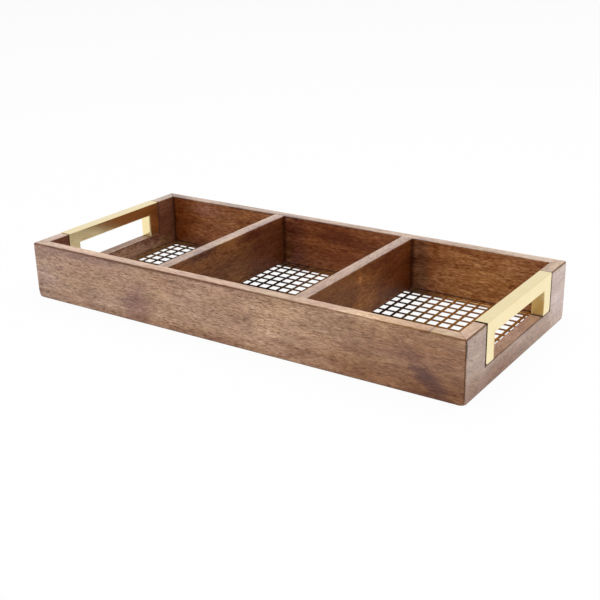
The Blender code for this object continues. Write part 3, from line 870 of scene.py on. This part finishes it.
def board_section():
    """(distance in from the outer face, height) of the points round a board's section."""
    bottom = quarter_arc(OUTER_EDGE, OUTER_EDGE, OUTER_EDGE, 2 * QUARTER_TURN, OUTER_STEPS)
    inner_top = quarter_arc(THICKNESS - INNER_EDGE, HEIGHT - INNER_EDGE, INNER_EDGE, 0, INNER_STEPS)
    outer_top = quarter_arc(OUTER_EDGE, HEIGHT - OUTER_EDGE, OUTER_EDGE, QUARTER_TURN, OUTER_STEPS)
    rise = [(0, FOOT * share) for share in (1.0, 0.8, 0.6, 0.4)]
    return [*bottom, (THICKNESS, 0), *inner_top, *outer_top, *rise]


def corner_radius(height):
    """The upright corners' round at a height. Near the ground they are sanded rounder."""
    low = max(0, 1 - height / FOOT)
    return CORNER + (CORNER_AT_FOOT - CORNER) * low * low


def band(shape, before, after):
    """A band of faces between two closed loops of points."""
    for index in range(len(before)):
        shape.faces.new((before[index - 1], before[index], after[index], after[index - 1]))


def ring_mesh():
    """The section swept round the tray. Its corner is sharp where it lies deeper than the radius."""
    shape = bmesh.new()
    loops = []
    for quarter, (side_x, side_y) in enumerate(((1, 1), (-1, 1), (-1, -1), (1, -1))):
        for step in range(CORNER_STEPS + 1):
            angle = (quarter + step / CORNER_STEPS) * QUARTER_TURN
            loop = []
            for inset, height in board_section():
                corner = corner_radius(height)
                radius = max(corner - inset, 0)
                reach = max(corner, inset)
                x = side_x * (LENGTH / 2 - reach) + radius * math.cos(angle)
                y = side_y * (WIDTH / 2 - reach) + radius * math.sin(angle)
                loop.append(shape.verts.new((x, y, height)))
            loops.append(loop)
    for index, loop in enumerate(loops):
        band(shape, loops[index - 1], loop)
    bmesh.ops.remove_doubles(shape, verts=shape.verts, dist=WELD)
    bmesh.ops.recalc_face_normals(shape, faces=shape.faces)
    return mesh_from(shape, "moulding")


MOULDING = ring_mesh()
print("moulding:", len(MOULDING.vertices), "points")

# %% [markdown]
# ### Cutting the boards
# Each board is the moulding inside a wedge with 45 degree ends. From it the cuts are taken
# that the real board has: the groove that holds the edge of the floor, the notch for a handle
# in the end boards, and the holes for the handle's screws. The mitres close to a hair line.

# %% Cutters
MITRE_GAP = 0.06 * MM
GROOVE_DEPTH = 2.3 * MM
GROOVE_SLACK = 0.1 * MM
OVERRUN = 2 * MM
ROUND_STEPS = 24
scratch = bpy.data.collections.new("scratch")
bpy.context.scene.collection.children.link(scratch)


def closed_shape(*loops):
    """A solid over loops of points that follow each other, closed by a face at each end."""
    shape = bmesh.new()
    rings = [[shape.verts.new(point) for point in loop] for loop in loops]
    shape.faces.new(list(reversed(rings[0])))
    shape.faces.new(rings[-1])
    for lower, upper in zip(rings, rings[1:]):
        band(shape, lower, upper)
    bmesh.ops.recalc_face_normals(shape, faces=shape.faces)
    return shape


def prism(name, outline, low, high):
    """A cutter: the outline stood up between two heights."""
    shape = closed_shape(*([(x, y, height) for x, y in outline] for height in (low, high)))
    return mesh_object(name, mesh_from(shape, name), scratch)


def turned_cutter(name, profile, place):
    """A cutter turned about an upright axis: (radius, height) pairs from the bottom up."""
    angles = [4 * QUARTER_TURN * step / ROUND_STEPS for step in range(ROUND_STEPS)]
    shape = closed_shape(*([(place.x + radius * math.cos(angle), place.y + radius * math.sin(angle), height)
                            for angle in angles] for radius, height in profile))
    return mesh_object(name, mesh_from(shape, name), scratch)


def rectangle(low_x, high_x, low_y, high_y):
    return [(low_x, low_y), (high_x, low_y), (high_x, high_y), (low_x, high_y)]


def wedge(quarter):
    """What a board keeps of the ring, for the front board and each quarter turn from it."""
    length, width = (LENGTH, WIDTH) if quarter % 2 == 0 else (WIDTH, LENGTH)
    near, far = -width / 2 - OVERRUN, -width / 2 + THICKNESS + OVERRUN
    half_near = length / 2 + OVERRUN - MITRE_GAP / math.sqrt(2)
    half_far = half_near - (far - near)
    outline = [(-half_near, near), (half_near, near), (half_far, far), (-half_far, far)]
    turn = Matrix.Rotation(quarter * QUARTER_TURN, 2)
    return prism("wedge", [turn @ Vector(point) for point in outline], -OVERRUN, HEIGHT + OVERRUN)


def cut(item, cutter, operation="DIFFERENCE"):
    modifier = item.modifiers.new(cutter.name, "BOOLEAN")
    modifier.operation = operation
    modifier.object = cutter


def settled(item):
    """Turns an object and its modifiers into a plain mesh."""
    bpy.context.view_layer.update()
    mesh = bpy.data.meshes.new_from_object(item.evaluated_get(bpy.context.evaluated_depsgraph_get()))
    item.modifiers.clear()
    item.data = mesh
    return item


print("cutters ready, mitre gap in mm:", MITRE_GAP / MM)

# %% Boards
SCREW_ROOM = 0.3 * MM
SCREW_SHANK = 1.5 * MM
SCREW_HEAD = 2.9 * MM
HEAD_BAND = 0.6 * MM
HEAD_DEPTH = 1.9 * MM
SIDES = ("front_board", "right_end_board", "back_board", "left_end_board")
half_groove = (INNER_LENGTH / 2 + GROOVE_DEPTH, INNER_WIDTH / 2 + GROOVE_DEPTH)
groove = prism("groove", rectangle(-half_groove[0], half_groove[0], -half_groove[1], half_groove[1]),
               SHEET_LOW.z - GROOVE_SLACK, SHEET_HIGH.z + GROOVE_SLACK)
half_notch = BAR_HIGH.y + NOTCH_SLACK
shank, head = SCREW_SHANK + SCREW_ROOM, SCREW_HEAD + SCREW_ROOM
screw_hole = [(head, -OVERRUN), (head, HEAD_BAND + SCREW_ROOM), (shank, HEAD_DEPTH + SCREW_ROOM),
              (shank, NOTCH_FLOOR + OVERRUN)]
boards = {}
for quarter, node_name in enumerate(SIDES):
    board = mesh_object(node_name + "_wood", MOULDING.copy())
    cut(board, wedge(quarter), "INTERSECT")
    cut(board, groove)
    if "end" in node_name:
        side = 1 if quarter == 1 else -1
        ends = sorted((side * (INNER_LENGTH / 2 - OVERRUN), side * (LENGTH / 2 + OVERRUN)))
        outline = rectangle(*ends, -half_notch, half_notch)
        cut(board, prism("notch", outline, NOTCH_FLOOR, HEIGHT + OVERRUN))
        handle_name = node_name.replace("end_board", "handle")
        for screw in (name for name in frame["nodes"] if name.startswith(handle_name + "_screw")):
            low, high = vectors(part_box(screw))
            cut(board, turned_cutter("screw_hole", screw_hole, (low + high) / 2))
    boards[node_name] = settled(board)
print("boards:", {name: len(board.data.vertices) for name, board in boards.items()})

# %% Finish the boards
SMOOTH_BELOW = math.radians(32)


def finish_piece(item, material, slot, *nodes):
    """Smooth round edges, flat faces kept flat, a material if it has none, and its place in the model."""
    if material:
        item.data.materials.clear()
        item.data.materials.append(material)
    item.data.shade_smooth()
    item.data.set_sharp_from_angle(angle=SMOOTH_BELOW)
    item.modifiers.new("even_shading", "WEIGHTED_NORMAL").keep_sharp = True
    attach(item, "root")
    if nodes:
        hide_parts(*nodes)


for node_name, board in boards.items():
    finish_piece(board, WOODS[node_name], "board_wood", node_name)
print("boards finished")

# %% [markdown]
# ## Dividers
# Each divider is a board with a short tongue at both ends, which sits in a stopped housing in
# the long boards. Its top runs level into the frame with no seam, so it reaches just far
# enough to fill the frame's rounded inner edge.

# %% Dividers
TONGUE_STOP = HEIGHT - 8 * MM
DIVIDER_EASE = 0.5 * MM
EASE_STEPS = 4


def side_view(low, high, half, shift=0.0):
    """A solid from its side view, given as the right half of an outline, stood across the tray."""
    outline = half + [(-y, z) for y, z in reversed(half)]
    return closed_shape(*([(x, y + shift, z) for y, z in outline] for x in (low.x, high.x)))


def divider_mesh(name, low, high):
    """The divider, with its two long top edges eased."""
    reach = INNER_WIDTH / 2 + INNER_EDGE
    half = [(high.y, low.z), (high.y, TONGUE_STOP), (reach, TONGUE_STOP), (reach, HEIGHT)]
    shape = side_view(low, high, half)
    top_edges = [edge for edge in shape.edges if all(vert.co.z > HEIGHT - MM for vert in edge.verts)]
    long_edges = [edge for edge in top_edges if edge.calc_length() > 2 * THICKNESS]
    bmesh.ops.bevel(shape, geom=long_edges, offset=DIVIDER_EASE, segments=EASE_STEPS, profile=0.5,
                    affect="EDGES")
    return mesh_from(shape, name)


for node_name, box in DIVIDER_BOXES.items():
    divider = mesh_object(node_name + "_wood", divider_mesh(node_name, *vectors(box)))
    finish_piece(divider, WOODS[node_name], "divider_wood", node_name)
print("dividers:", len(DIVIDER_BOXES))

# %% [markdown]
# ## Brass
# Polished brass has hardly a colour of its own from a distance. It mirrors the white room as
# pale gold and the dark boards as brown. So the metal itself is plain: fully metallic, a light
# yellow, and smooth. What makes it real is small: faint wiping marks that change how sharp
# the mirror is, and a very shallow unevenness that bends it.
#
# The sheet has a thin clear coat, so a tenth of its light is scattered. Beside the left wall of
# each compartment it is darkened with painted shade, which stands in for the dark wall that it
# mirrors there. Its cut edges are dull and brown, and beside the back board a painted glint
# lightens them. On one handle the sides of the legs are veiled by lacquer, so they show plain
# gold instead of a mirror of each other, and a painted shade darkens that gold to olive.

# %% Polish group
WIPES = (300, 60, 2)
SMUDGES = {"Scale": 70.0, "Detail": 3.0}
SAGS = {"Scale": 55.0, "Detail": 1.0}
SMUDGED, WARMED = (0.4, 0.7), (0.3, 0.8)
WARMER = (0.94, 0.88, 0.76, 1)
WARM_SHARE = 0.35


def build_polish():
    inputs = {"Vector": ORIGIN, "Metal": WHITE, "Smooth": 0.0, "Marks": 0.0}
    group, given, result = new_group("polish", inputs, "Colour", "Roughness", "Height")
    wiped = stretched_noise(group, given["Vector"], *WIPES)[0]
    smudge, sag = (add_node(group, "ShaderNodeTexNoise", {"Vector": given["Vector"], **kind}).outputs[0]
                   for kind in (SMUDGES, SAGS))
    marks = times(group, ease(group, smudge, *SMUDGED), given["Marks"])
    lines = times(group, wiped, given["Marks"], 0.5)
    warm = mix_colours(group, 1.0, given["Metal"], WARMER, "MULTIPLY")
    warm = mix_colours(group, ease(group, smudge, *WARMED, 0.0, WARM_SHARE), given["Metal"], warm)
    rough = plus(group, given["Smooth"], marks, lines, clamp=True)
    give(group, result, Colour=warm, Roughness=rough, Height=sag)
    return group


POLISH = build_polish()
print("polish group:", len(POLISH.nodes), "nodes")

# %% Metals
WAVES = {"faint": 0.002 * MM, "slight": 0.004 * MM, "plain": 0.01 * MM}


def metal_material(name, colour, smooth, marks, wave, bare=1.0, tints=(), veil=0.0):
    """A metal finish. The wave is how far its surface rises and falls, and bare is 1 for metal with nothing
    on it. Each tint is (middle in mm, reach in mm, gain), where the veil takes that much of its mirror."""
    material, tree, shader, place = new_material(name, {"Metallic": bare})
    polish = use_group(tree, POLISH,
                       {"Vector": place, "Metal": tone(*colour), "Smooth": smooth, "Marks": marks})
    look = polish["Colour"]
    masks = []
    for middle, reach, gain in tints:
        masks.append(soft_mask(tree, place, middle, reach))
        look = tinted(tree, look, masks[-1], gain)
    links = {"Base_Color": look, "Roughness": polish["Roughness"]}
    if veil:
        links["Metallic"] = ease(tree, largest(tree, *masks), 0, 1, bare, bare - veil)
    dress(tree, shader, polish["Height"], {"Strength": 1.0, "Distance": WAVES[wave]}, **links)
    return material


def along_sheet(y, places, reach, gain):
    """The same tint at some places on the sheet, from (x, reach along x) pairs."""
    return [((x, y, SHEET_HIGH.z / MM), (long, *reach), gain) for x, long in places]


# painted shade on the sheet beside the left wall of each compartment
SHADE_BESIDE_WALLS = along_sheet(0, ((-150, 40), (-44, 42), (76, 28)), (130, 60), (0.10, 0.07, 0.07))
# painted glints on the cut edges beside the back board
PAINTED_GLINTS = along_sheet(74.4, ((-110, 40), (34, 40), (146, 56)), (3, 6), (12, 20, 30))
# the inner sides of one handle's legs: satin under the veil, and darkened to olive by painted shade
SHADED_LEG_SIDES = [((195, y, 25), (12, 1.6, 17), (0.72, 0.57, 0.32)) for y in (-45.1, 45.4)]
HANDLE_BRASS = metal_material("handle_brass", (250, 232, 182), 0.16, 0.03, "faint",
                              tints=SHADED_LEG_SIDES, veil=0.7)
SHEET_BRASS = metal_material("sheet_brass", (216, 174, 92), 0.10, 0.05, "slight", bare=0.9, tints=SHADE_BESIDE_WALLS)
CUT_BRASS = metal_material("cut_brass", (80, 52, 28), 0.45, 0.10, "slight", bare=0.35,
                           tints=SHADE_BESIDE_WALLS + PAINTED_GLINTS)
SCREW_STEEL = metal_material("screw_steel", (190, 190, 186), 0.30, 0.15, "plain")
print("metals: handle_brass, sheet_brass, cut_brass, screw_steel")

# %% [markdown]
# ## Handles
# A handle is a bar bent or sawn to an upside-down U, as thick as the board that it stands in.
# Its edges are nearly sharp: the round on them is under half a millimetre, but it is what
# draws the thin bright line along the metal, so it is modelled. The outer corners of its feet
# are filed rounder, and one handle has settled a little to one side of its notch, which leaves
# a dark joint beside the other leg.

# %% Handles
BAR_DEPTH = 11 * MM
HEEL = 2.2 * MM
HEEL_STEPS = 5
SETTLED = {"left_handle": 0.0, "right_handle": 0.6 * MM}
SOFT_EDGE = 0.9 * MM
CRISP_EDGE = 0.35 * MM
SOFT_STEPS = 5


def edge_softness(edge, low, high, inner_x):
    """1 for an edge to be softened most: the top ones, and the opening's on the inner side."""
    ends = [vert.co for vert in edge.verts]
    if abs(ends[0].x - ends[1].x) > MM:
        return 0.0 if edge.calc_face_angle() < QUARTER_TURN / 2 else CRISP_EDGE / SOFT_EDGE
    on_top = all(end.z > high.z - MM for end in ends)
    at_foot = all(end.z < low.z + MM for end in ends)
    opening = all(abs(end.x - inner_x) < MM and abs(end.y) < high.y - LEG_WIDTH + MM for end in ends)
    return 1.0 if on_top or (opening and not at_foot) else CRISP_EDGE / SOFT_EDGE


def handle_mesh(name, low, high, inner_x):
    """The upside-down U. Each edge's bevel weight says how much it will be softened."""
    inner = high.y - LEG_WIDTH
    heel = quarter_arc(high.y - HEEL, low.z + HEEL, HEEL, -QUARTER_TURN, HEEL_STEPS)
    half = [(inner, high.z - BAR_DEPTH), (inner, low.z), *heel, (high.y, high.z)]
    shape = side_view(low, high, half, SETTLED[name])
    weight = shape.edges.layers.float.new("bevel_weight_edge")
    for edge in shape.edges:
        edge[weight] = edge_softness(edge, low, high, inner_x)
    return mesh_from(shape, name)


for node_name in SETTLED:
    low, high = vectors(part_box(node_name))
    handle = mesh_object(node_name + "_bar", handle_mesh(node_name, low, high, min(low.x, high.x, key=abs)))
    softening = handle.modifiers.new("softening", "BEVEL")
    softening.width, softening.segments, softening.limit_method = SOFT_EDGE, SOFT_STEPS, "WEIGHT"
    finish_piece(settled(handle), HANDLE_BRASS, "handle_brass", node_name)
print("handle in mm:", in_mm(high - low))

# %% [markdown]
# ## Pierced floor
# The floor is one sheet, punched with a square grid of holes that runs on under the dividers
# and off the edges of the sheet, where it was cut from a bigger one. A grid like that follows
# a rule, so Geometry Nodes draw it: a grid whose lines stand in pairs, a strip apart, with the
# faces between the pairs taken away. What is left is raised to the sheet's thickness.

# %% Geometry node helpers
GEOMETRY, INTEGER, MATERIAL = "NodeSocketGeometry", "NodeSocketInt", "NodeSocketMaterial"


def new_shape_tree(name, inputs):
    """A Geometry Nodes tree with a geometry input and output and the named inputs."""
    tree = bpy.data.node_groups.new(name, "GeometryNodeTree")
    for label, kind in (("Geometry", GEOMETRY), *inputs):
        tree.interface.new_socket(label, in_out="INPUT", socket_type=kind)
    tree.interface.new_socket("Geometry", in_out="OUTPUT", socket_type=GEOMETRY)
    return tree, tree.nodes.new("NodeGroupInput").outputs, tree.nodes.new("NodeGroupOutput").inputs


def shape_node(tree, kind, geometry, **inputs):
    """Adds a geometry node behind another geometry. Returns its outputs."""
    return add_node(tree, "GeometryNode" + kind, {0: geometry, **inputs}).outputs


def run_tree(item, tree, values):
    """Runs the tree on an object and keeps the result as its plain mesh."""
    modifier = item.modifiers.new(tree.name, "NODES")
    modifier.node_group = tree
    for socket in tree.interface.items_tree:
        if socket.in_out == "INPUT" and socket.name in values:
            modifier[socket.identifier] = values[socket.name]
    return settled(item)


print("geometry node helpers ready")

# %% Pierced sheet tree
def build_pierced_sheet():
    tree, given, result = new_shape_tree("pierced_sheet", [
        ("Holes Along", INTEGER), ("Holes Across", INTEGER), ("Pitch", FLOAT), ("Strip", FLOAT),
        ("Shift", FLOAT), ("Half Length", FLOAT), ("Half Width", FLOAT), ("Thickness", FLOAT),
        ("Bottom", FLOAT), ("Finish", MATERIAL), ("Cut Finish", MATERIAL)])
    count = [plus(tree, times(tree, given["Holes " + way], 2.0), 2.0) for way in ("Along", "Across")]
    span = [minus(tree, lines, 1.0) for lines in count]
    grid = add_node(tree, "GeometryNodeMeshGrid", {"Size X": span[0], "Size Y": span[1],
                                                   "Vertices X": count[0], "Vertices Y": count[1]})
    spot = split(tree, add_node(tree, "GeometryNodeInputPosition").outputs[0])
    step = [plus(tree, spot[axis], over(tree, span[axis], 2.0)) for axis in (0, 1)]

    odd = [maths(tree, "GREATER_THAN", maths(tree, "FLOORED_MODULO", along, 2.0), 1.0) for along in step]
    punched = add_node(tree, "GeometryNodeDeleteGeometry",
                       {"Geometry": grid.outputs["Mesh"], "Selection": times(tree, *odd)}, domain="FACE")

    placed = []
    for axis, (holes, half, shift) in enumerate((("Holes Along", "Half Length", given["Shift"]),
                                                 ("Holes Across", "Half Width", 0.0))):
        whole = maths(tree, "ROUND", step[axis])
        pair = maths(tree, "FLOOR", over(tree, whole, 2.0))
        second = times(tree, maths(tree, "FLOORED_MODULO", whole, 2.0), given["Strip"])
        start = times(tree, over(tree, given[holes], -2.0), given["Pitch"])
        start = minus(tree, plus(tree, start, shift), over(tree, given["Strip"], 2.0))
        line = plus(tree, times(tree, pair, given["Pitch"]), second, start)
        line = smallest(tree, line, given[half])
        placed.append(largest(tree, line, times(tree, given[half], -1.0)))
    point = add_node(tree, "ShaderNodeCombineXYZ", {"X": placed[0], "Y": placed[1], "Z": given["Bottom"]})
    laid = shape_node(tree, "SetPosition", punched.outputs[0], Position=point.outputs[0])
    flat = shape_node(tree, "MergeByDistance", laid[0], Distance=WELD)[0]

    rise = add_node(tree, "ShaderNodeCombineXYZ", {"Z": given["Thickness"]}).outputs[0]
    raised = shape_node(tree, "ExtrudeMesh", flat, Offset=rise, Individual=False)
    rolled = shape_node(tree, "SetMaterial", raised["Mesh"], Material=given["Finish"])
    walls = shape_node(tree, "SetMaterial", rolled[0], Selection=raised["Side"],
                       Material=given["Cut Finish"])
    under = shape_node(tree, "SetMaterial", flat, Material=given["Finish"])
    under = shape_node(tree, "FlipFaces", under[0])
    both = add_node(tree, "GeometryNodeJoinGeometry")
    for part in (under[0], walls[0]):
        tree.links.new(part, both.inputs[0])
    closed = shape_node(tree, "MergeByDistance", both.outputs[0], Distance=WELD)
    tree.links.new(shape_node(tree, "RealizeInstances", closed[0])[0], result["Geometry"])
    return tree


SHEET_TREE = build_pierced_sheet()
print("pierced sheet tree:", len(SHEET_TREE.nodes), "nodes")

# %% Pierced sheet
STRIP = 2.2 * MM
PITCH = 10.05 * MM
SHIFT = 0.4 * MM
sheet = mesh_object("pierced_sheet", bpy.data.meshes.new("pierced_sheet"))
run_tree(sheet, SHEET_TREE, {
    "Holes Along": 39, "Holes Across": 17, "Pitch": PITCH, "Strip": STRIP, "Shift": SHIFT,
    "Half Length": SHEET_HIGH.x, "Half Width": SHEET_HIGH.y, "Thickness": SHEET_HIGH.z - SHEET_LOW.z,
    "Bottom": SHEET_LOW.z, "Finish": SHEET_BRASS, "Cut Finish": CUT_BRASS})
finish_piece(sheet, None, "floor_metal", "mesh_floor")
print("pierced sheet:", len(sheet.data.polygons), "faces")

# %% [markdown]
# ## Hidden pieces
# The loose tongues in the mitres and the screws under the handles keep the model's own solids.
# The tongues are bare wood and the screws are plain steel.

# %% Hidden pieces
BARE_WOOD = wood_material("bare_wood", (176, 142, 106), (204, 172, 134), (0.11, 0.37, 0.17),
                          edge=0, roughness=0.6)
for node_name, node_object in frame["nodes"].items():
    finish = BARE_WOOD if node_name.endswith("_spline") else SCREW_STEEL if "_screw_" in node_name else None
    if finish:
        for material_slot in node_object.material_slots:
            material_slot.material = finish
print("hidden pieces dressed")

# %% [markdown]
# ## Clearing up
# The cutters have done their work and go.

# %% Clearing up
for item in list(scratch.objects):
    bpy.data.objects.remove(item, do_unlink=True)
bpy.data.collections.remove(scratch)
bpy.context.view_layer.update()
